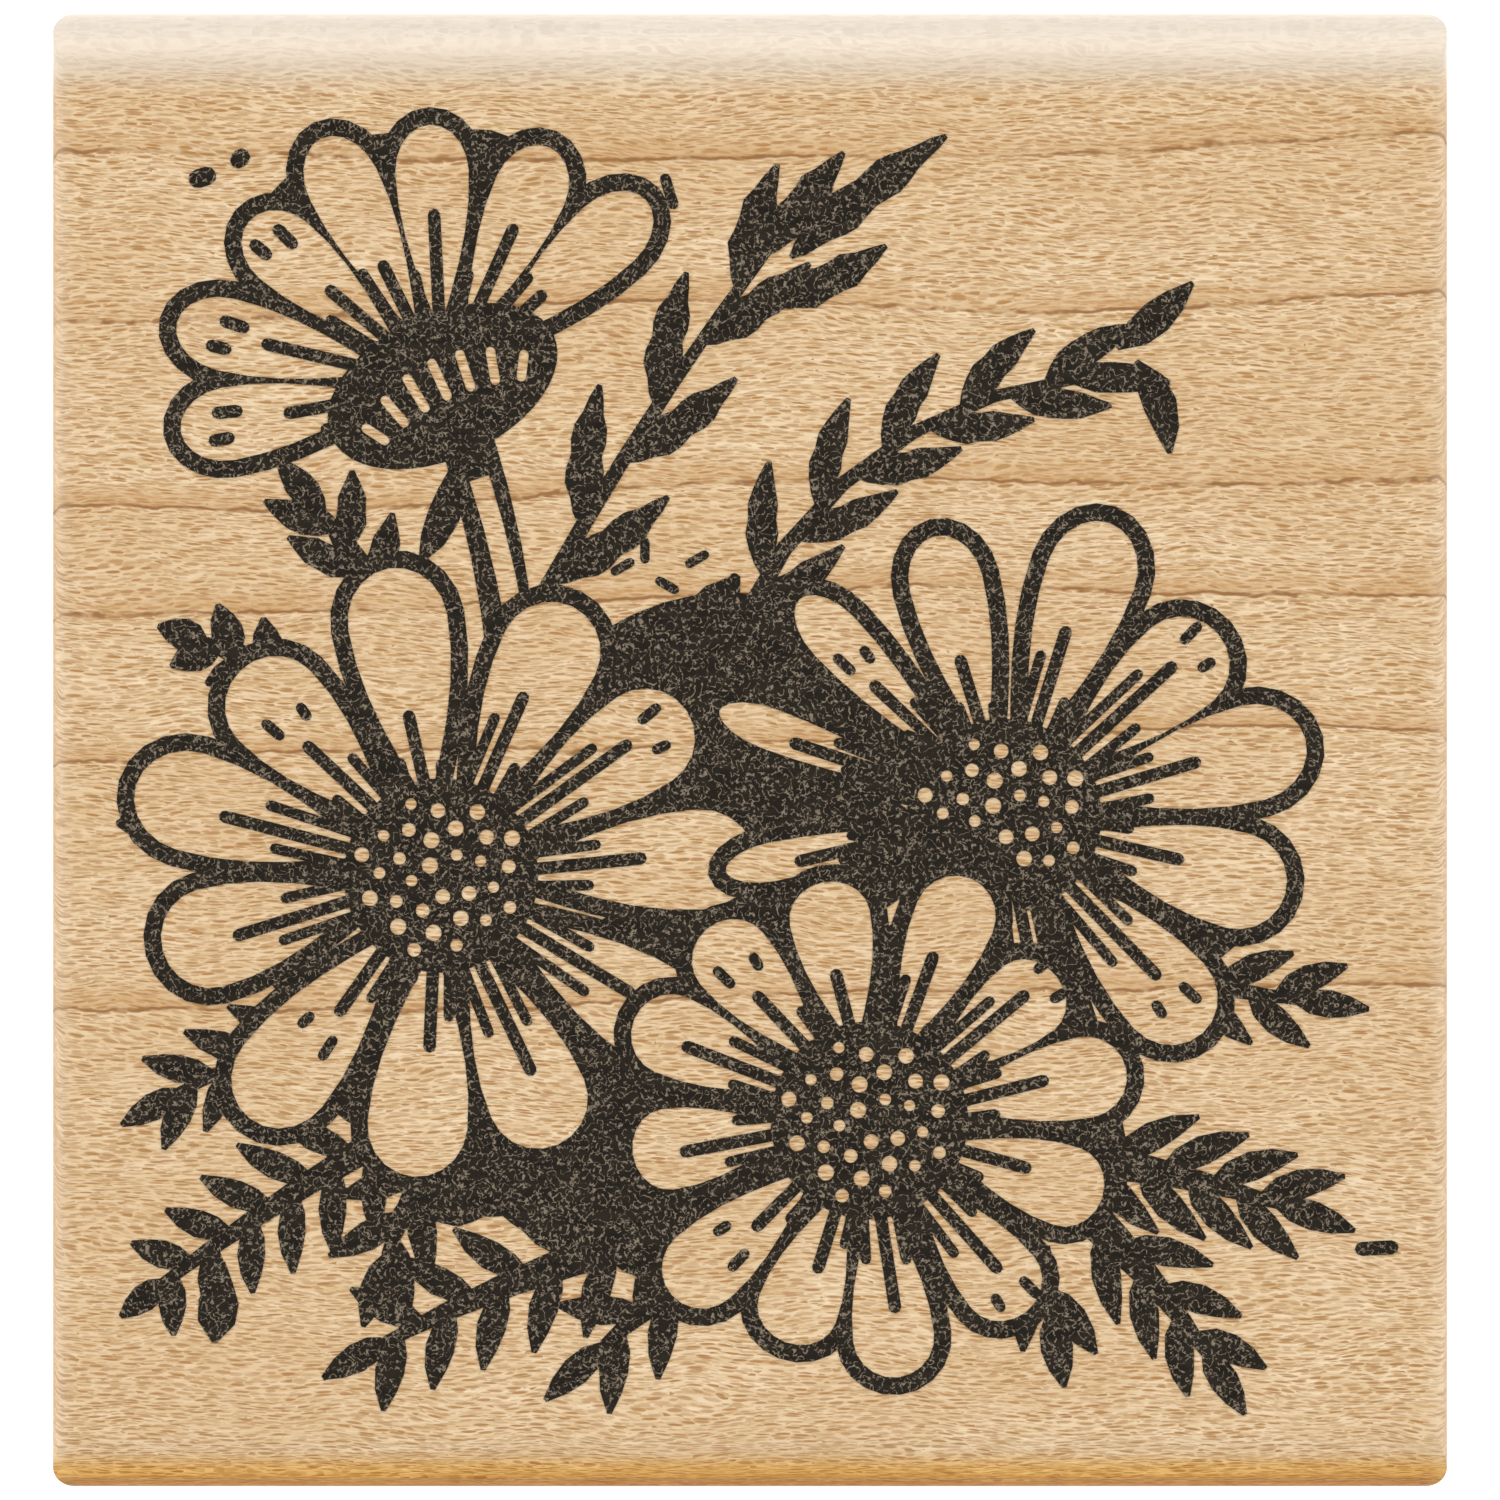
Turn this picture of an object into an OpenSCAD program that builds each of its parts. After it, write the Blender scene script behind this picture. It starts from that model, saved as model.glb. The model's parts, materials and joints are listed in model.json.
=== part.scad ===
// Wood-mounted rubber stamp with a daisy design: a moulded maple block with an index print of the
// design on top, and a trimmed foam cushion and rubber die bonded underneath.
// The stamp stands on the raised face of its die. X runs along the grain, Y across it, and Z is up.

/* [Block] */
// Length of the block along the grain
block_x = 89; // [80:1:110]
// Width of the block across the grain
block_y = 94.5; // [84:0.5:115]
// Thickness of the block
block_z = 19; // [16:0.5:24]
// Radius of the two rounded top shoulders
shoulder_r = 3.6; // [2:0.1:4]
// Radius of the finger groove in each long side
groove_r = 7; // [6:0.5:7.5]
// Depth of the finger groove
groove_depth = 2.4; // [1.5:0.1:3]
// Radius that eases the finger groove into the side
groove_ease_r = 1.4; // [0.8:0.1:1.6]
// Radius of the sanded corners, seen from above
corner_r = 1.4; // [0.8:0.1:2]
// Radius of the sanded edges of the two sawn ends
end_edge_r = 0.8; // [0.4:0.1:1.2]

/* [Cushion and die] */
// Thickness of the foam cushion
cushion_t = 3.2; // [2:0.1:5]
// Thickness of each adhesive film
film_t = 0.15; // [0.1:0.05:0.3]
// Thickness of the rubber sheet under the raised design
sheet_t = 1.2; // [0.8:0.1:2]
// Height of the raised design above the sheet
relief_h = 1.4; // [0.8:0.1:2]
// How far the cushion and die are trimmed outside the design
trim_margin = 1.6; // [1:0.1:2]

/* [Design] */
// Thickness of the index print
ink_t = 0.05; // [0.03:0.01:0.1]
// Width of the petal outlines
outline_w = 1.1; // [0.8:0.05:1.3]
// Width of the lines drawn inside the petals
vein_w = 0.8; // [0.6:0.05:0.9]
// Radius of the seeds in the daisy centres
seed_r = 0.44; // [0.35:0.01:0.5]

/* [Hidden] */
$fn = 48;

// Heights of the layers, from the printing face up
die_z = relief_h + sheet_t;
cushion_z = die_z + film_t;
block_adhesive_z = cushion_z + cushion_t;
block_base_z = block_adhesive_z + film_t;
block_top_z = block_base_z + block_z;

// The design is drawn for a block of this size, and scaled to the real one
drawn_x = 89;
drawn_y = 94.5;
design_scale = min(block_x / drawn_x, block_y / drawn_y);

maple = [0.87, 0.74, 0.58];
ink = [0.18, 0.16, 0.14];
grey_foam = [0.55, 0.56, 0.58];
clear_film = [0.85, 0.84, 0.78];
red_rubber = [0.62, 0.20, 0.17];

// ---------------------------------------------------------------- curves

// Point at length s on an arc of length len that leaves the origin along +X and turns by turn degrees
function arc_point(len, turn, s) =
    let (bend = abs(turn) < 0.01 ? 0.01 : turn, r = len / bend * 180 / PI, a = bend * s / len)
    [r * sin(a), r * (1 - cos(a))];

// Direction of that arc at length s
function arc_heading(len, turn, s) = turn * s / len;

// Point beside the arc, side to its left
function beside_arc(len, turn, s, side) =
    let (a = arc_heading(len, turn, s)) arc_point(len, turn, s) + side * [-sin(a), cos(a)];

module at(p, heading) {
    translate(p) rotate(heading) children();
}

// A stem along an arc, tapering from w0 to w1
module stem(len, turn, w0, w1, steps = 5) {
    polygon(concat(
        [for (i = [0:steps]) let (u = i / steps)
            beside_arc(len, turn, u * len, (w0 + (w1 - w0) * u) / 2)],
        [for (i = [steps:-1:0]) let (u = i / steps)
            beside_arc(len, turn, u * len, -(w0 + (w1 - w0) * u) / 2)]
    ));
}

// Half width of a leaf at share u of its length: full is where it is widest, notch ripples its edge
function leaf_half(u, w, full, notch) =
    w / 2 * pow(sin(180 * pow(u, ln(0.5) / ln(full))), 0.85) * (1 - notch * pow(sin(540 * u), 2));

// A leaf along an arc, with blunt ends that rubber can hold
leaf_end_w = 0.3;
module leaf(len, w, turn = 0, full = 0.45, notch = 0) {
    steps = max(4, round(len * (notch > 0 ? 1.1 : 0.6)));
    polygon(concat(
        [for (i = [0:steps]) let (u = i / steps)
            beside_arc(len, turn, u * len, leaf_half(u, w, full, notch) + leaf_end_w / 2)],
        [for (i = [steps:-1:0]) let (u = i / steps)
            beside_arc(len, turn, u * len, -leaf_half(u, w, full, notch) - leaf_end_w / 2)]
    ));
}

// A line of width w with round ends
cap_steps = 4;
module dash(from, to, w) {
    run = to - from;
    cap = [for (i = [0:cap_steps]) let (a = 180 * i / cap_steps - 90) w / 2 * [cos(a), sin(a)]];
    at(from, atan2(run[1], run[0]))
        polygon(concat([for (c = cap) c + [norm(run), 0]], [for (c = cap) -c]));
}

// A stem with leaves on both sides. A frond is described by its stem's length and turn, its pairs of
// leaves, the length of the first and last leaf, their width, their spread from the stem and their bend.
module frond(len, turn, pairs, leaf_len, tip_len, leaf_w, spread, bend, notch = 0, w0 = 1.1) {
    stem(len, turn, w0, 0.7);
    for (i = [0:pairs - 1], side = [-1, 1]) {
        u = (i + (side > 0 ? 0.6 : 0.15)) / pairs;
        size = leaf_len + (tip_len - leaf_len) * u;
        at(arc_point(len, turn, u * len), arc_heading(len, turn, u * len) + side * (spread - 8 * u))
            leaf(size, leaf_w, -side * bend, notch = notch);
    }
    at(arc_point(len, turn, len * 0.97), arc_heading(len, turn, len))
        leaf(tip_len, leaf_w, turn / 4, notch = notch);
}

// ---------------------------------------------------------------- daisies

// Outline of a petal along +X: a narrow foot at start, a round end at len, widest at petal_full of the way
petal_full = 0.74;
function petal_side(start, len, w, foot, steps = 5) = concat(
    [for (i = [0:steps - 1]) let (u = i / steps)
        [start + (len - start) * petal_full * u, foot / 2 + (w - foot) / 2 * sin(90 * u)]],
    [for (i = [0:steps]) let (a = 90 * i / steps)
        [start + (len - start) * (petal_full + (1 - petal_full) * sin(a)), w / 2 * cos(a)]]
);
module petal(start, len, w, foot) {
    side = petal_side(start, len, w, foot);
    last = len(side) - 1;
    polygon(concat(side, [for (i = [last - 1:-1:0]) [side[i][0], -side[i][1]]]));
}

// A daisy is [x, y, disc radius, petal length, petal count, first petal angle, petal width, lean].
// Its petals narrow towards -X by its lean, and start under the edge of its disc.
left_daisy = [-19.7, -8, 6.2, 20.9, 11, 1, 8.6, 0];
right_daisy = [16.2, -4.2, 6.2, 20.6, 12, 12, 8.4, 0.45];
front_daisy = [7.6, -23.6, 6.3, 17.6, 12, 9, 7.4, 0];

// Each petal varies a little in direction and length, by a rule on its number k
function petal_angle(d, k) = d[5] + k * 360 / d[4] + 2.6 * sin(97 * k + 40 * d[4]);
function petal_length(d, k) = d[3] * (1 + 0.05 * sin(151 * k + 70 * d[4]));
function petal_width(d, k) = d[6] * (1 - d[7] * pow((1 - cos(petal_angle(d, k))) / 2, 2));
function petal_start(d) = d[2] * 0.8;
petal_foot_w = 1.6;

module petals(d, grow) {
    for (k = [0:d[4] - 1]) rotate(petal_angle(d, k)) offset(delta = grow)
        petal(petal_start(d), petal_length(d, k) - outline_w, petal_width(d, k) - outline_w, petal_foot_w);
}

// Three lines run up each petal from the disc, the middle one longest. Every third petal has dashes too.
side_vein_w = vein_w * 0.85;
module veins(d) {
    for (k = [0:d[4] - 1]) rotate(petal_angle(d, k)) {
        foot = petal_start(d);
        room = petal_width(d, k) / d[6];
        reach = d[2] + (d[3] - d[2]) * (0.42 + 0.14 * sin(83 * k + 11));
        dash([foot, 0], [reach, 0.3], vein_w);
        dash([foot, 1 * room], [reach - 2.8 + sin(61 * k), 1.35 * room], side_vein_w);
        dash([foot, -1 * room], [reach - 3.4 - sin(61 * k), -1.2 * room], side_vein_w);
        if (k % 3 == 1) {
            dash([reach + 1.8, 1.1 * room], [reach + 2.9, 1.2 * room], side_vein_w);
            dash([reach + 1.5, -1 * room], [reach + 2.1, -1.1 * room], side_vein_w);
        }
    }
}

// Seeds spiral out from the middle by the golden angle. The front daisy hides some of those behind it.
golden_angle = 137.508;
seed_count = 30;
seeded_share = 0.84;
module seeds(d) {
    front = [front_daisy[0], front_daisy[1]];
    hidden = d == front_daisy ? 0 : front_daisy[3] * 1.08;
    for (i = [1:seed_count]) {
        a = i * golden_angle;
        p = [d[0], d[1]] + d[2] * seeded_share * sqrt(i / seed_count) * [cos(a), sin(a)];
        if (norm(p - front) > hidden)
            translate(p) circle(r = seed_r * (1 + 0.18 * sin(77 * i)));
    }
}

// Points and slivers finer than the rubber can hold are trimmed off
finest = 0.07;
module trimmed() {
    offset(delta = finest) offset(delta = -finest) children();
}

// Everything that a daisy covers
module daisy_cover(d) {
    at([d[0], d[1]], 0) {
        petals(d, outline_w / 2);
        circle(r = d[2]);
    }
}

// The open areas inside a daisy's petals, less its children, which stand in front of it
module daisy_openings(d) {
    trimmed() difference() {
        at([d[0], d[1]], 0) petals(d, -outline_w / 2);
        at([d[0], d[1]], 0) {
            veins(d);
            circle(r = d[2]);
        }
        children();
    }
}

// ---------------------------------------------------------------- daisy seen from the side

side_daisy_at = [-19.6, 23.2];
side_petals = 7;
side_petal_start = 3.6;
side_petal_len = 18.6;
side_petal_w = 6.9;
side_petal_foot_w = 1.2;
back_petal_len = 16.6;
back_petal_w = 7;
cup = [7.8, 4.6];
cup_tilt = 25;
function side_petal_angle(k) = 190 - 24.6 * k + 1.4 * sin(120 * k);
function side_petal_length(k) = side_petal_len * (1 + 0.04 * sin(140 * k));

module side_petals(grow) {
    for (k = [0:side_petals - 1]) rotate(side_petal_angle(k)) offset(delta = grow)
        petal(side_petal_start, side_petal_length(k) - outline_w, side_petal_w - outline_w,
            side_petal_foot_w);
}

module side_veins() {
    for (k = [0:side_petals - 1]) rotate(side_petal_angle(k)) {
        dash([4, 0], [9.9 + 1.6 * sin(100 * k), 0], vein_w);
        dash([4, 0.8], [7.8 - sin(100 * k), 1.4], side_vein_w);
        if (k < 3) {
            dash([14, 0.9], [14.9, 0.9], vein_w);
            dash([13.2, -0.7], [14.4, -0.8], vein_w);
        }
    }
}

// Dark petals of the far side, which show between the near ones
module back_petals() {
    for (k = [2:4]) rotate(side_petal_angle(k + 0.5))
        petal(side_petal_start, back_petal_len, back_petal_w, side_petal_foot_w);
}

module side_cup() {
    rotate(cup_tilt) scale(cup) circle(r = 1);
}

module side_cover() {
    translate(side_daisy_at) {
        back_petals();
        side_petals(outline_w / 2);
        side_cup();
    }
}

module side_openings() {
    trimmed() difference() {
        translate(side_daisy_at) side_petals(-outline_w / 2);
        translate(side_daisy_at) {
            side_veins();
            side_cup();
        }
        children();
    }
}

// Slits in the cup fan out along its upper edge
slit_w = 0.62;
module slits() {
    at(side_daisy_at, cup_tilt) for (k = [-3:3])
        dash([1.6 * k, -0.7 - 0.1 * k * k], [1.85 * k, 1.6 - 0.22 * k * k], slit_w);
}

// ---------------------------------------------------------------- leaves behind the daisies

// Stem of the side daisy, drawn as two lines
module side_stem() {
    at([-18, 19.6], -72) difference() {
        stem(18, -16, 3.4, 3.2);
        translate([2.4, 0]) stem(16, -14, 1.3, 1.2);
    }
}

// Tall sprigs at the top right
module sprigs() {
    at([-13.4, 9.5], 61) frond(27, -8, 3, 9.4, 8.4, 2.4, 32, 14, 0.3);
    at([2.6, 31.4], 43) leaf(12.6, 2.6, -10, notch = 0.3);
    at([1, 28.4], 16) leaf(8.6, 2.4, 20, notch = 0.3);
    at([-0.6, 8], 66) frond(28, -60, 5, 7.6, 6.6, 1.9, 40, 20, 0.2);
    at([23.4, 25.6], 36) leaf(6.4, 1.9, 10);
    at([24.6, 24.8], -52) leaf(6.4, 1.9, -36);
}

// Small leaves at the upper left
module left_leaves() {
    at([-24, 9.5], 112) frond(6.4, 16, 2, 5.4, 4.8, 1.8, 44, 10, 0.15, 2.6);
    at([-29.8, 4.6], 150) frond(5.4, 10, 2, 3.8, 3.4, 1.8, 40, -16, 0, 2.6);
    at([-33, -4.8], 176) leaf(7.4, 2.8, 6, 0.7);
    at([-21, 12], 60) leaf(8, 1.8, 16);
}

// Fern fronds that spread from under the daisies at the lower left
module lower_left_ferns() {
    at([-25, -17], 198) frond(12.4, 10, 4, 5.6, 4.6, 1.5, 36, -16);
    at([-22, -24], 209) frond(18.6, 8, 6, 6.4, 3.8, 1.5, 50, -18, 0, 2);
    at([-20, -26], 236) frond(7, 14, 2, 6.4, 5, 1.6, 34, -10, 0, 2);
    at([-33.6, -32.6], 264) leaf(5.2, 2.4, 0, 0.6);
}

// Fronds along the bottom
module bottom_fronds() {
    at([-3, -30], 194) frond(22, 14, 6, 6.6, 5, 1.6, 48, -18, 0, 3);
    at([-3, -33], 214) frond(8, 8, 2, 6, 5.4, 1.6, 40, -14, 0, 2.2);
    at([-12, -27], 186) leaf(11, 4.4, 14, 0.5, 0.2);
}

// Fronds at the lower right
module lower_right_fronds() {
    at([24, -14], -12) frond(11, 4, 3, 5.8, 5, 1.5, 46, 16, 0, 1.6);
    at([21, -26], -8) frond(13, -10, 4, 6.6, 5.6, 1.6, 46, 16, 0, 2.4);
    at([22, -30], -44) frond(11, -12, 3, 6.4, 5, 1.6, 44, 16, 0, 2.4);
    at([18, -32], -70) frond(4, -8, 1, 6, 5, 1.8, 34, 12, 0, 2.4);
    at([40.2, -31.8], 0) dash([-1.2, 0], [0.7, 0.1], 0.9);
}

// Broad leaves that fill the middle of the bunch
module broad_leaves() {
    at([-14, 3], 10) leaf(27, 13, -34, 0.5);
    at([-6, -2], -38) leaf(26, 15, 14, 0.5);
    at([-25, -20], -16) leaf(26, 13, -14, 0.6);
    at([8, -14], -36) leaf(22, 11, -16, 0.5);
    at([12, -12], 178) leaf(24, 9, 8);
    at([-4, 5], 72) leaf(7, 3.4, -20);
}

// Short marks scattered in the gaps
module scattered_marks() {
    dash([-34.6, 36.6], [-35.2, 36.4], 1.2);
    dash([-32.6, 37.6], [-32.4, 37.8], 1.1);
    dash([-5.4, 36.4], [-4.9, 34.8], 0.7);
    for (k = [0:5]) at([-8.6 + 1.9 * k, 11.4 + 1.2 * sin(140 * k)], 30 + 60 * k)
        dash([0, 0], [1.1, 0], 0.6);
}

// Everything the design covers, with the petals filled in
module silhouette() {
    for (d = [left_daisy, right_daisy, front_daisy]) daisy_cover(d);
    side_cover();
    side_stem();
    sprigs();
    left_leaves();
    lower_left_ferns();
    bottom_fronds();
    lower_right_fronds();
    broad_leaves();
    scattered_marks();
}

// The whole design, as it prints. The front daisy stands before the right one, the right before the
// left, and the left before the side one.
module design() {
    scale(design_scale) difference() {
        trimmed() silhouette();
        daisy_openings(front_daisy);
        daisy_openings(right_daisy) daisy_cover(front_daisy);
        daisy_openings(left_daisy) {
            daisy_cover(front_daisy);
            daisy_cover(right_daisy);
        }
        side_openings() daisy_cover(left_daisy);
        slits();
        for (d = [left_daisy, right_daisy, front_daisy]) seeds(d);
    }
}

// The trimmed outline that the cushion, its films and the die share. It bridges gaps in the design that
// are narrower than twice its reach, and rounds each daisy off.
trim_reach = 12;
rounded_share = 0.97;
module trim_outline() {
    $fn = 36;
    offset(r = -trim_reach) offset(r = trim_reach + trim_margin) scale(design_scale) {
        for (d = [left_daisy, right_daisy, front_daisy])
            translate([d[0], d[1]]) circle(r = d[3] * rounded_share);
        silhouette();
    }
}

// ---------------------------------------------------------------- pieces

// What one finger groove removes from the block's section, at its +Y side. Y is drawn along X here.
module groove_section() {
    out = groove_r - groove_depth;
    rise = sqrt(pow(groove_r + groove_ease_r, 2) - pow(out + groove_ease_r, 2));
    reach = groove_r / (groove_r + groove_ease_r);
    meet = [out - (out + groove_ease_r) * reach, rise * reach];
    difference() {
        union() {
            translate([out, 0]) circle(r = groove_r);
            polygon([[0, rise], meet, [meet[0], -meet[1]], [0, -rise], [groove_r, -rise], [groove_r, rise]]);
        }
        for (side = [-1, 1]) translate([-groove_ease_r, side * rise]) circle(r = groove_ease_r);
    }
}

// Section of the block across the grain, from its base up
groove_z = block_z * 0.45;
module block_section() {
    difference() {
        translate([-block_y / 2, 0]) square([block_y, block_z]);
        for (side = [0, 1]) mirror([side, 0]) {
            translate([block_y / 2, groove_z]) groove_section();
            translate([block_y / 2 - shoulder_r, block_z - shoulder_r]) difference() {
                square(shoulder_r + 1);
                circle(r = shoulder_r);
            }
        }
    }
}

// A rectangle with true round corners, centred
module rounded_rectangle(x, y, r) {
    difference() {
        square([x, y], center = true);
        for (a = [0, 1], b = [0, 1]) mirror([a, 0]) mirror([0, b])
            translate([x / 2 - r, y / 2 - r]) difference() {
                square(r + 1);
                circle(r = r);
            }
    }
}

// Solid maple, sawn from a moulded strip, with its corners and ends eased by sanding
module wood_block() {
    color(maple) translate([0, 0, block_base_z]) intersection() {
        rotate([90, 0, 90]) linear_extrude(block_x, center = true) block_section();
        linear_extrude(block_z) rounded_rectangle(block_x, block_y, corner_r);
        translate([0, 0, block_z / 2]) rotate([90, 0, 0])
            linear_extrude(block_y + 2, center = true) rounded_rectangle(block_x, block_z, end_edge_r);
    }
}

// Dark ink film on the flat top, the same way round as the stamp prints
module index_print() {
    color(ink) translate([0, 0, block_top_z]) linear_extrude(ink_t) design();
}

// Double-sided adhesive film between the block and the cushion
module block_adhesive() {
    color(clear_film) translate([0, 0, block_adhesive_z]) linear_extrude(film_t) trim_outline();
}

// Closed-cell foam, trimmed with the die, that presses the whole die down on uneven paper
module foam_cushion() {
    color(grey_foam) translate([0, 0, cushion_z]) linear_extrude(cushion_t) trim_outline();
}

// Double-sided adhesive film between the cushion and the die
module die_adhesive() {
    color(clear_film) translate([0, 0, die_z]) linear_extrude(film_t) trim_outline();
}

// Moulded rubber: a sheet with the design raised below it. The design runs up into the sheet, so that
// they are one solid.
module rubber_die() {
    color(red_rubber) {
        translate([0, 0, relief_h]) linear_extrude(sheet_t) trim_outline();
        linear_extrude(relief_h + sheet_t / 2) design();
    }
}

wood_block();
index_print();
block_adhesive();
foam_cushion();
die_adhesive();
rubber_die();
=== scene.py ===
"""Looks for the wood-mounted rubber stamp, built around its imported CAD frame."""
import functools
import json
import math

import bmesh
import bpy
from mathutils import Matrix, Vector, noise


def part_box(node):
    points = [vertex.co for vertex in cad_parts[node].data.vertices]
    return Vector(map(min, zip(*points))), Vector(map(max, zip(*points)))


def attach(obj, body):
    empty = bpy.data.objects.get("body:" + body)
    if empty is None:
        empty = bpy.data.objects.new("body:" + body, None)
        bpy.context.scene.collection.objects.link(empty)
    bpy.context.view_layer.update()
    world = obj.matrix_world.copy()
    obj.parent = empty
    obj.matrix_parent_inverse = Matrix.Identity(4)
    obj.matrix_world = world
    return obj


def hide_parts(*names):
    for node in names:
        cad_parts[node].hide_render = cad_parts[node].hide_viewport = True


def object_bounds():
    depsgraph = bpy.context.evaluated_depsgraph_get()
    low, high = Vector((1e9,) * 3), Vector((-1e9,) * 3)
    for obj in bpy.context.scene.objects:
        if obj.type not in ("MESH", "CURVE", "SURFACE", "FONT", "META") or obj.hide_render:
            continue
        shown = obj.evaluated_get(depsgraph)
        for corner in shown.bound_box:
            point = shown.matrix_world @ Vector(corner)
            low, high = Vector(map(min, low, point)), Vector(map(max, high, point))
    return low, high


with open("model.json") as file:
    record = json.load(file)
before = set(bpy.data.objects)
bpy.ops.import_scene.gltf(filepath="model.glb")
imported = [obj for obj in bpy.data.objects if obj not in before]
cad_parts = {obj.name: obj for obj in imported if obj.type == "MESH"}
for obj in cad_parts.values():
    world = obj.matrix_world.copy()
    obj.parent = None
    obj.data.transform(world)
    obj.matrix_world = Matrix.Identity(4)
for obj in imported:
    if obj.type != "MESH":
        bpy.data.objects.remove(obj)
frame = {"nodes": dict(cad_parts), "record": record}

cad_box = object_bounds()
MM = 0.001
scene = bpy.context.scene
nodes = frame["nodes"]


# ------------------------------------------------------------------ node helpers

class Value:
    """A number that a material works out at each point. Python's operators add the nodes for it."""

    def __init__(self, shader, socket):
        self.shader = shader
        self.socket = socket

    def __add__(self, other):
        return self.shader.math("ADD", self, other)

    def __sub__(self, other):
        return self.shader.math("SUBTRACT", self, other)

    def __rsub__(self, other):
        return self.shader.math("SUBTRACT", other, self)

    def __mul__(self, other):
        return self.shader.math("MULTIPLY", self, other)

    def __truediv__(self, other):
        return self.shader.math("DIVIDE", self, other)

    def __abs__(self):
        return self.shader.math("ABSOLUTE", self)


DASH_END, DASH_FULL = 1.4, 0.4  # squared distances from a dash's middle, where 1 is half the dash
FAINTEST_DASH = 0.45


class Shader:
    """Builds one material's nodes. What goes in is a number, a Value, or a node's own socket."""

    def __init__(self, name):
        self.mat = bpy.data.materials.new(name)
        self.mat.use_nodes = True
        self.tree = self.mat.node_tree
        self.tree.nodes.clear()
        out = self.add("ShaderNodeOutputMaterial")
        self.bsdf = self.add("ShaderNodeBsdfPrincipled")
        self.tree.links.new(self.bsdf.outputs[0], out.inputs["Surface"])

    def add(self, kind, **settings):
        node = self.tree.nodes.new(kind)
        for key, value in settings.items():
            setattr(node, key, value)
        return node

    def feed(self, socket, value):
        if isinstance(value, Value):
            self.tree.links.new(value.socket, socket)
        elif isinstance(value, bpy.types.NodeSocket):
            self.tree.links.new(value, socket)
        else:
            socket.default_value = value

    def math(self, operation, *values):
        node = self.add("ShaderNodeMath", operation=operation)
        for socket, value in zip(node.inputs, values):
            self.feed(socket, value)
        return Value(self, node.outputs[0])

    def most(self, *values):
        """The largest of the values."""
        return functools.reduce(lambda a, b: self.math("MAXIMUM", a, b), values)

    def length(self, a, b):
        """How far the point a, b is from the origin."""
        return self.math("SQRT", a * a + b * b)

    def vector(self, place):
        node = self.add("ShaderNodeCombineXYZ")
        for socket, value in zip(node.inputs, place):
            self.feed(socket, value)
        return node.outputs[0]

    def parts(self, vector):
        """The x, y and z of a vector."""
        node = self.add("ShaderNodeSeparateXYZ")
        self.feed(node.inputs[0], vector)
        return [Value(self, socket) for socket in node.outputs]

    def position(self):
        """x, y and z in the row frame, in millimetres."""
        scale = self.add("ShaderNodeVectorMath", operation="SCALE")
        self.feed(scale.inputs[0], self.add("ShaderNodeTexCoord").outputs["Object"])
        self.feed(scale.inputs["Scale"], 1 / MM)
        return self.parts(scale.outputs[0])

    def normal(self):
        """x, y and z of the direction that the surface faces."""
        return self.parts(self.add("ShaderNodeTexCoord").outputs["Normal"])

    def noise(self, place, detail=2.0, roughness=0.5, distortion=0.0):
        node = self.add("ShaderNodeTexNoise")
        for key, value in (("Vector", self.vector(place)), ("Scale", 1.0), ("Detail", detail),
                           ("Roughness", roughness), ("Distortion", distortion)):
            self.feed(node.inputs[key], value)
        return Value(self, node.outputs["Fac"])

    def dashes(self, place, spacing, half):
        """Dashes along x, one to each cell of the spacing. half is half a dash's length and width."""
        spot = self.vector([v / gap for v, gap in zip(place, spacing)])
        cells = self.add("ShaderNodeTexVoronoi", feature="F1")
        for key, value in (("Vector", spot), ("Scale", 1.0), ("Randomness", 1.0)):
            self.feed(cells.inputs[key], value)
        off = self.add("ShaderNodeVectorMath", operation="SUBTRACT")
        self.feed(off.inputs[0], spot)
        self.feed(off.inputs[1], cells.outputs["Position"])
        along, across, _ = self.parts(off.outputs[0])
        along = along * (spacing[0] / half[0])
        across = across * (spacing[1] / half[1])
        shade = self.add("ShaderNodeSeparateColor")
        self.feed(shade.inputs[0], cells.outputs["Color"])
        strength = self.fit(shade.outputs[0], 0.0, 1.0, FAINTEST_DASH, 1.0)
        return self.fit(along * along + across * across, DASH_END, DASH_FULL) * strength

    def fit(self, value, low, high, to_low=0.0, to_high=1.0, smooth=True):
        """value from low..high to to_low..to_high, clamped."""
        node = self.add("ShaderNodeMapRange", interpolation_type="SMOOTHSTEP" if smooth else "LINEAR")
        for socket, v in zip(node.inputs, (value, low, high, to_low, to_high)):
            self.feed(socket, v)
        return Value(self, node.outputs[0])

    def mix(self, factor, a, b, blend="MIX"):
        node = self.add("ShaderNodeMix", data_type="RGBA", blend_type=blend)
        for socket, value in ((node.inputs[0], factor), (node.inputs[6], a), (node.inputs[7], b)):
            self.feed(socket, value)
        return node.outputs[2]

    def surface(self, colour, roughness, bump=None, depth_mm=0.0, **more):
        """The finished surface. bump is a height from 0 to 1, depth_mm deep."""
        self.feed(self.bsdf.inputs["Base Color"], colour)
        self.feed(self.bsdf.inputs["Roughness"], roughness)
        for key, value in more.items():
            self.feed(self.bsdf.inputs[key.replace("_", " ")], value)
        if bump is not None:
            node = self.add("ShaderNodeBump")
            self.feed(node.inputs["Height"], bump)
            self.feed(node.inputs["Distance"], depth_mm * MM)
            self.feed(self.bsdf.inputs["Normal"], node.outputs[0])
        return self.mat


def srgb(r, g, b):
    """A colour as seen on a screen, 0 to 255, as the linear colour that the shader takes."""
    def linear(v):
        v /= 255
        return v / 12.92 if v <= 0.04045 else ((v + 0.055) / 1.055) ** 2.4
    return linear(r), linear(g), linear(b), 1.0


# ------------------------------------------------------------------ maple

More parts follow.
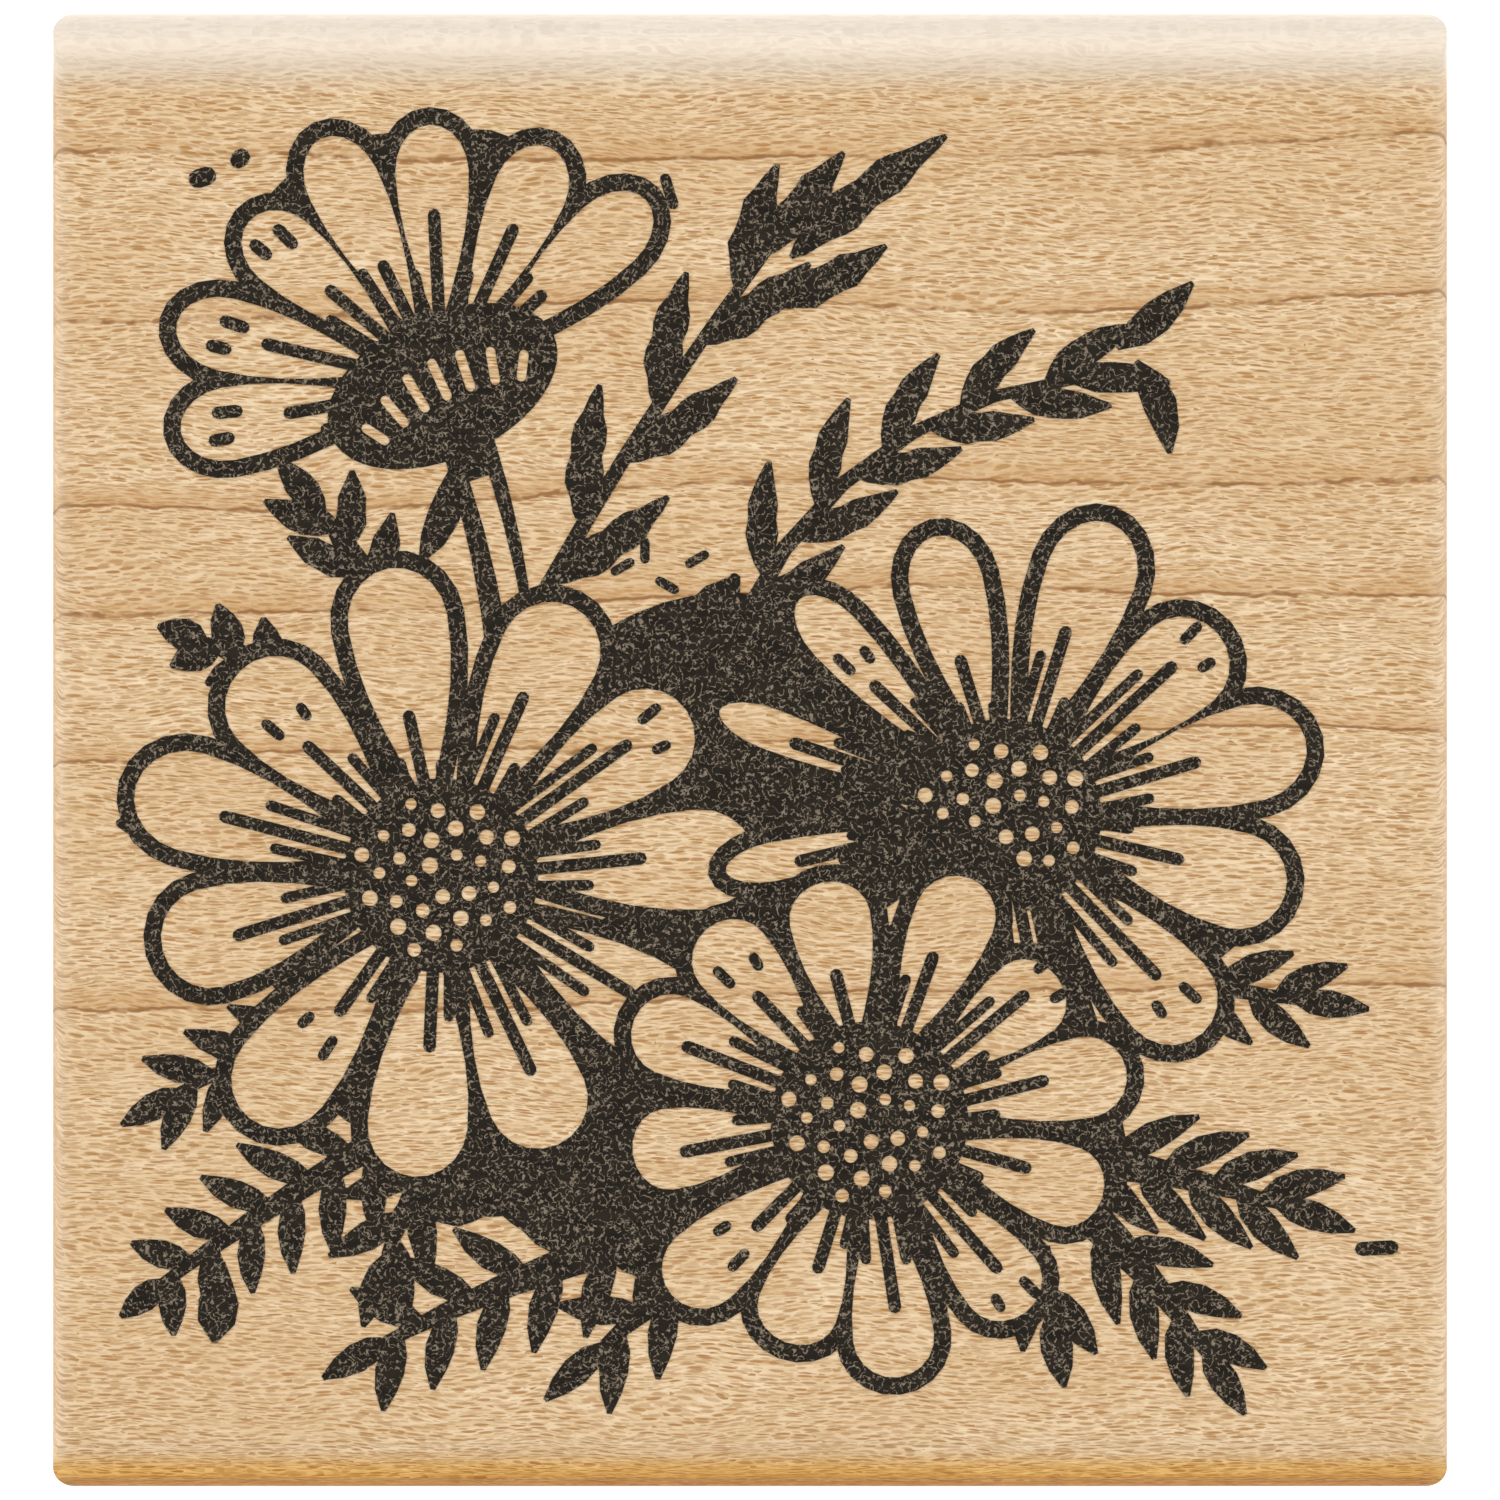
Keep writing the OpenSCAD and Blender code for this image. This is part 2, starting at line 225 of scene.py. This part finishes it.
# Lengths are in mm. The pith of the tree runs along X, far below the block and towards +Y.
PITH_Y, PITH_Z = 150.0, -100.0
RING_RADII = (145.5, 152.0, 158.5, 167.8, 174.5, 182.8, 187.9, 195.0, 207.8)  # where each year ends
RING_SLOPE = 0.016  # how fast the rings move towards +Y along X
DRIFT, WAVER, JITTER = 9.0, 0.9, 0.6  # how far the rings stray, from the longest waves to the shortest
LATE_W, LATE_STOP = 1.5, -0.1  # latewood deepens over the first, and has stopped at the second
LINE_CORE, LINE_EDGE = 0.03, 0.13  # a ring's line is full to the first distance, and gone at the second
RAY_TILT = math.radians(-50)  # the wood's rays lean this far from upright, as they point to the pith
RAY_SWAY = 1.5
RAY_STAGGER = 1.7  # keeps neighbouring rays from starting level: mm along for each mm aside
LONG_RAYS = {"spacing": (1.15, 0.23, 5.0), "half": (0.54, 0.052)}
SHORT_RAYS = {"spacing": (0.8, 0.16, 3.0), "half": (0.33, 0.036)}

FIBRE_DEEP, FIBRE_PALE = srgb(216, 181, 132), srgb(246, 223, 188)
CLOUD = srgb(218, 182, 134)
RAY_BROWN = srgb(180, 131, 74)
LATEWOOD = srgb(196, 146, 86)
RING_BROWN = srgb(150, 100, 50)
# Painted highlight for the ends' top edges, and painted sheen for the +Y shoulder
ARRIS_HIGHLIGHT = srgb(236, 216, 190)
SHOULDER_SHEEN = srgb(228, 216, 199)
# These four multiply the wood's own colour: the first is the ends' real stain, the other three are
# painted shade
END_STAIN = srgb(214, 182, 144)
EDGE_SHADE = (0.76, 0.77, 0.79, 1.0)
SHADE_TINT = (1.03, 0.83, 0.42, 1.0)
DEEP_SHADE_TINT = (0.58, 0.44, 0.22, 1.0)


def year_rings(s, x, y, z):
    """The darker latewood, and the thin dark line that ends each year."""
    # The trunk isn't quite straight: its rings drift and waver along the grain
    drift = s.noise((x * 0.011, y * 0.02, 3.1), 2.0)
    waver = s.noise((x * 0.16, y * 0.5, z), 3.0)
    jitter = s.noise((x * 0.7, y * 0.7, z), 2.0)
    bend = (drift - 0.5) * DRIFT + (waver - 0.5) * WAVER + (jitter - 0.5) * JITTER
    radius = s.length(y - x * RING_SLOPE - bend - PITH_Y, z - PITH_Z)

    depths = [r - radius for r in RING_RADII]  # how far inside each ring
    late = s.most(*(s.fit(d, LATE_W, 0.0) * s.fit(d, 0.0, LATE_STOP, 1.0, 0.0) for d in depths))
    line = s.most(*(s.fit(abs(d), LINE_CORE, LINE_EDGE, 1.0, 0.0) for d in depths))
    # Both come and go along the grain
    fade = s.noise((x * 0.09, y * 0.3, 9.0), 3.0)
    broken = s.noise((x * 0.8, y * 0.8, 2.0), 2.0)
    return (late * s.fit(fade, 0.3, 0.62, 0.3, 1.0),
            line * s.fit(fade + broken, 0.82, 1.05, 0.25, 1.0))


def rays_and_fibre(s, x, y, z):
    """Rays are thin plates that stand along the grain: dashes on top, long lines on the sawn ends."""
    sway = s.noise((x * 0.09, y * 0.2, z), 2.0)
    aside = y * math.cos(RAY_TILT) - z * math.sin(RAY_TILT) + sway * RAY_SWAY
    upward = y * math.sin(RAY_TILT) + z * math.cos(RAY_TILT)
    place = (x + aside * RAY_STAGGER, aside, upward)
    rays = s.most(s.dashes(place, **LONG_RAYS), s.dashes(place, **SHORT_RAYS) * 0.7)
    fibre = s.noise((x * 0.3, aside * 3.6, upward * 3.6), 3.0, 0.7)
    return rays, fibre


def maple():
    s = Shader("maple")
    x, y, z = s.position()
    facing_x, facing_y, _ = s.normal()
    end = s.fit(abs(facing_x), 0.6, 0.95)  # 1 on the sawn ends
    late, line = year_rings(s, x, y, z)
    rays, fibre = rays_and_fibre(s, x, y, z)
    rays = rays * (1.0 - end * 0.7)
    cloud = s.noise((x * 0.045, y * 0.12, z * 0.12), 3.0, 0.5)
    wood = s.mix(s.fit(fibre, 0.32, 0.68, smooth=False), FIBRE_DEEP, FIBRE_PALE)
    wood = s.mix(s.fit(cloud, 0.35, 0.65, 0.0, 0.4), wood, CLOUD)
    wood = s.mix(rays, wood, RAY_BROWN)
    wood = s.mix(late * 0.5, wood, LATEWOOD)
    wood = s.mix(line * 0.9, wood, RING_BROWN)

    # The sawn ends drink more finish and are darker. The top edges of the ends get a painted highlight,
    # where the block's eased arris catches the light.
    low, high = (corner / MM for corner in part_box("wood_block"))
    wood = s.mix(end * 0.5, wood, END_STAIN, "MULTIPLY")
    upper = s.fit(z, high.z - 7.0, high.z - 3.0)
    edge = s.fit(high.x - abs(x), 1.6, 0.2) * (upper - end)
    wood = s.mix(edge * 0.25, wood, ARRIS_HIGHLIGHT)

    # The moulded shoulder at +Y gets a painted sheen that makes it pale, a real clear coat that makes
    # it shiny, and painted shade at its very edge
    inset = high.y - y
    pale = s.fit(inset, 6.0, 2.6) * upper
    wood = s.mix(pale * 0.75, wood, SHOULDER_SHEEN)
    wood = s.mix(s.fit(inset, 2.8, 0.9) * upper, wood, EDGE_SHADE, "MULTIPLY")

    # The one at -Y, and the side facing -Y, get painted shade in a honey tint, darkest at the
    # shoulder's edge, and both fade down the side
    inset = y - low.y
    fading = s.fit(z, low.z, high.z - 2.0, 0.2, 1.0)
    shaded_side = s.most(s.fit(inset, 2.6, 0.9), s.fit(facing_y, -0.2, -0.7)) * fading
    wood = s.mix(shaded_side, wood, SHADE_TINT, "MULTIPLY")
    wood = s.mix(s.fit(inset, 1.3, 0.3) * fading * 0.9, wood, DEEP_SHADE_TINT, "MULTIPLY")

    return s.surface(wood, s.fit(fibre, 0.3, 0.7, 0.46, 0.38), fibre * 0.6 - rays * 0.5, 0.02,
                     Specular_IOR_Level=s.fit(shaded_side, 0.3, 0.9, 0.45, 0.08),
                     Coat_Weight=pale * 0.7, Coat_Roughness=0.4)


# ------------------------------------------------------------------ ink, rubber, foam and film

def print_ink():
    s = Shader("print_ink")
    x, y, _ = s.position()
    # Ink leaves short wandering specks of wood bare
    worm = s.noise((x * 1.9, y * 1.9, 0.0), 2.0, 0.55, 0.4)
    spot = s.noise((x * 3.4, y * 3.4, 7.0), 1.0, 0.5)
    specks = s.fit(abs(worm - 0.5), 0.014, 0.042, 1.0, 0.0) * s.fit(spot, 0.38, 0.56)
    tone = s.noise((x * 0.4, y * 1.2, 2.0), 3.0)
    ink = s.mix(s.fit(tone, 0.3, 0.7), srgb(31, 26, 20), srgb(44, 38, 30))
    ink = s.mix(specks * 0.62, ink, srgb(168, 152, 130))
    return s.surface(ink, 0.7, 1.0 - specks, 0.02, Specular_IOR_Level=0.1)


def die_rubber():
    s = Shader("die_rubber")
    x, y, z = s.position()
    grain = s.noise((x * 2.2, y * 2.2, z * 2.2), 4.0, 0.6)
    bloom = s.noise((x * 0.12, y * 0.12, z * 0.3), 3.0, 0.5)
    red = s.mix(s.fit(bloom, 0.32, 0.68), srgb(148, 52, 44), srgb(166, 66, 55))
    red = s.mix(s.fit(grain, 0.55, 0.75, 0.0, 0.3), red, srgb(186, 96, 82))
    return s.surface(red, s.fit(grain, 0.3, 0.7, 0.72, 0.58), grain, 0.03, Specular_IOR_Level=0.4)


def cushion_foam():
    s = Shader("cushion_foam")
    x, y, z = s.position()
    cells = s.add("ShaderNodeTexVoronoi", feature="F1")
    s.feed(cells.inputs["Vector"], s.vector((x, y, z)))
    s.feed(cells.inputs["Scale"], 3.6)
    pore = s.fit(cells.outputs["Distance"], 0.1, 0.55)
    fine = s.noise((x * 7.0, y * 7.0, z * 7.0), 2.0, 0.6)
    grey = s.mix(pore, srgb(112, 114, 118), srgb(166, 168, 171))
    grey = s.mix(s.fit(fine, 0.4, 0.7, 0.0, 0.4), grey, srgb(188, 189, 191))
    return s.surface(grey, 0.9, pore + fine * 0.3, 0.12, Specular_IOR_Level=0.2)


def adhesive_film():
    s = Shader("adhesive_film")
    x, y, z = s.position()
    streak = s.noise((x * 0.7, y * 0.7, z), 3.0, 0.6)
    film = s.mix(s.fit(streak, 0.35, 0.65), srgb(226, 219, 198), srgb(238, 234, 220))
    return s.surface(film, s.fit(streak, 0.3, 0.7, 0.22, 0.38), streak, 0.02)


MATERIALS = {
    "maple": maple(),
    "print_ink": print_ink(),
    "die_rubber": die_rubber(),
    "cushion_foam": cushion_foam(),
    "adhesive_film": adhesive_film(),
}


def dress(obj, slot):
    obj.data.materials.clear()
    obj.data.materials.append(MATERIALS[slot])


for entry in frame["record"]["subparts"]:
    dress(nodes[entry["node"]], entry["material_slot"])


# ------------------------------------------------------------------ foam cushion

FOAM_STEP = 0.6 * MM  # between points round the outline
FOAM_ROWS = 9  # rows of points from bottom to top
FOAM_PINCH = 0.28 * MM  # how far a die-cut foam edge draws in at mid height
FOAM_CELL = 0.05 * MM  # how far cut cells stand in and out
FOAM_CELL_SIZE = 0.45 * MM
SAME_HEIGHT = 1e-6  # metres


def outline(node):
    """The outline of a flat plate's top face, as one closed loop of points in order, in metres."""
    mesh = nodes[node].data
    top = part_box(node)[1].z
    sides = set()
    for face in mesh.polygons:
        corners = [mesh.vertices[i].co for i in face.vertices]
        if all(abs(c.z - top) < SAME_HEIGHT for c in corners):
            spots = [(c.x, c.y) for c in corners]
            sides.update(zip(spots, spots[1:] + spots[:1]))
    following = {a: b for a, b in sides if (b, a) not in sides}
    start = here = min(following)
    loop = []
    while True:
        loop.append(Vector(here))
        here = following[here]
        if here == start:
            return loop


def resample(loop, step):
    """The loop again, with points an even step apart."""
    closed = loop + loop[:1]
    lengths = [(b - a).length for a, b in zip(closed, closed[1:])]
    count = round(sum(lengths) / step)
    spacing = sum(lengths) / count
    points, i, passed = [], 0, 0.0
    for k in range(count):
        target = k * spacing
        while passed + lengths[i] < target:
            passed += lengths[i]
            i += 1
        points.append(closed[i].lerp(closed[i + 1], (target - passed) / lengths[i]))
    return points


def ring_normals(points):
    """The outward direction at each point of an anticlockwise loop."""
    n = len(points)
    out = []
    for i in range(n):
        along = points[(i + 1) % n] - points[i - 1]
        out.append(Vector((along.y, -along.x)).normalized())
    return out


def foam_cushion():
    low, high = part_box("foam_cushion")
    points = resample(outline("foam_cushion"), FOAM_STEP)
    outward = ring_normals(points)
    bm = bmesh.new()
    rows = []
    for r in range(FOAM_ROWS):
        u = r / (FOAM_ROWS - 1)
        pinch = FOAM_PINCH * math.sin(math.pi * u) ** 0.8
        z = low.z + (high.z - low.z) * u
        row = []
        for p, n in zip(points, outward):
            cell = FOAM_CELL * (1 + noise.noise(Vector((p.x, p.y, z)) / FOAM_CELL_SIZE))
            q = p - n * (pinch + cell)
            row.append(bm.verts.new((q.x, q.y, z)))
        rows.append(row)
    for a, b in zip(rows, rows[1:]):
        for i in range(len(a)):
            j = (i + 1) % len(a)
            bm.faces.new((a[i], a[j], b[j], b[i]))
    bm.faces.new(rows[-1])
    bm.faces.new(list(reversed(rows[0])))
    mesh = bpy.data.meshes.new("cushion_pad")
    bm.to_mesh(mesh)
    bm.free()
    mesh.shade_smooth()
    pad = bpy.data.objects.new("cushion_pad", mesh)
    scene.collection.objects.link(pad)
    dress(pad, "cushion_foam")
    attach(pad, "root")
    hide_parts("foam_cushion")


foam_cushion()


# ------------------------------------------------------------------ floor, light and camera

WHITE = (1.0, 1.0, 1.0, 1.0)
FLOOR_R, WALL_R, WALL_TOP = 2.0, 2.6, 1.1  # metres: the flat floor, and the wall that it curves up into
FLOOR_DROP = 0.1 * MM  # keeps the floor just clear of the die's printing face
SWEEP_STEPS = 64  # round the sweep
BEND_STEPS = 9  # up the curve from floor to wall
FLOOR_TONES = (0.80, 0.80, 0.80, 1.0), (0.82, 0.82, 0.82, 1.0)
FAR_TONE = (0.1, 0.1, 0.1, 1.0)
FAR_START, FAR_END = 300.0, 1300.0  # mm from the stamp, where the lit floor turns into a glowing one
NEAR_GLOW, FAR_GLOW = 0.62, 0.86

# Area lights: name, place and size in metres, and power in watts
LIGHTS = (
    ("key", (-0.05, 1.0, 0.6), (1.5, 0.9), 7.8),
    ("left_fill", (-0.8, 0.1, 0.7), (0.7, 0.7), 2.3),
    ("right_fill", (0.8, 0.1, 0.7), (0.7, 0.7), 2.3),
    ("front_fill", (0.0, -0.7, 1.1), (1.0, 0.7), 4.2),
    ("sheen", (0.0, 0.95, 0.14), (0.9, 0.26), 0.7),
)
SKY_GLOW = 0.3

# The camera looks straight down, with the block filling the frame
VIEW_WIDTH = 95.6 * MM  # what the frame spans at the block's top
CAMERA_RISE = 0.5  # metres above the block's top
CAMERA_REACH = 20.0  # metres
SENSOR_W = 36.0


def floor_white():
    s = Shader("floor")
    x, y, _ = s.position()
    tone = s.noise((x * 0.01, y * 0.01, 0.0), 2.0)
    far = s.fit(s.length(x, y), FAR_START, FAR_END)
    white = s.mix(far, s.mix(tone, *FLOOR_TONES), FAR_TONE)
    return s.surface(white, 0.8, Specular_IOR_Level=0.1, Emission_Color=WHITE,
                     Emission_Strength=s.fit(far, 0.0, 1.0, NEAR_GLOW, FAR_GLOW, smooth=False))


def floor():
    """A round studio sweep, so that the background stays pale from every side."""
    bend = WALL_R - FLOOR_R
    turns = [math.radians(90 * k / BEND_STEPS) for k in range(BEND_STEPS + 1)]
    profile = [(FLOOR_R + bend * math.sin(a), bend * (1 - math.cos(a))) for a in turns]
    profile.append((WALL_R, WALL_TOP))
    n = len(profile)
    verts = [(0.0, 0.0, -FLOOR_DROP)]
    faces = []
    for k in range(SWEEP_STEPS):
        turn = 2 * math.pi * k / SWEEP_STEPS
        verts += [(r * math.cos(turn), r * math.sin(turn), h - FLOOR_DROP) for r, h in profile]
        a, b = 1 + n * k, 1 + n * ((k + 1) % SWEEP_STEPS)
        faces.append((0, a, b))
        faces += [(a + i, a + i + 1, b + i + 1, b + i) for i in range(n - 1)]
    mesh = bpy.data.meshes.new("floor")
    mesh.from_pydata(verts, [], faces)
    mesh.shade_smooth()
    mesh.materials.append(floor_white())
    obj = bpy.data.objects.new("floor", mesh)
    scene.collection.objects.link(obj)


def area_light(name, place, size, power):
    """A rectangular light that faces the stamp."""
    data = bpy.data.lights.new(name, "AREA")
    data.shape = "RECTANGLE"
    data.size, data.size_y = size
    data.energy = power
    obj = bpy.data.objects.new(name, data)
    obj.location = place
    obj.rotation_euler = (-obj.location).to_track_quat("-Z", "Y").to_euler()
    scene.collection.objects.link(obj)


def sky():
    world = bpy.data.worlds.new("studio")
    world.use_nodes = True
    background = world.node_tree.nodes["Background"]
    background.inputs["Color"].default_value = WHITE
    background.inputs["Strength"].default_value = SKY_GLOW
    scene.world = world


def camera():
    lens = bpy.data.cameras.new("camera")
    lens.sensor_width = SENSOR_W
    lens.lens = SENSOR_W * CAMERA_RISE / VIEW_WIDTH
    lens.clip_end = CAMERA_REACH
    obj = bpy.data.objects.new("camera", lens)
    obj.location = (0.0, 0.0, cad_box[1][2] + CAMERA_RISE)
    scene.collection.objects.link(obj)
    scene.camera = obj


floor()
for light in LIGHTS:
    area_light(*light)
sky()
camera()
scene.view_settings.view_transform = "Standard"
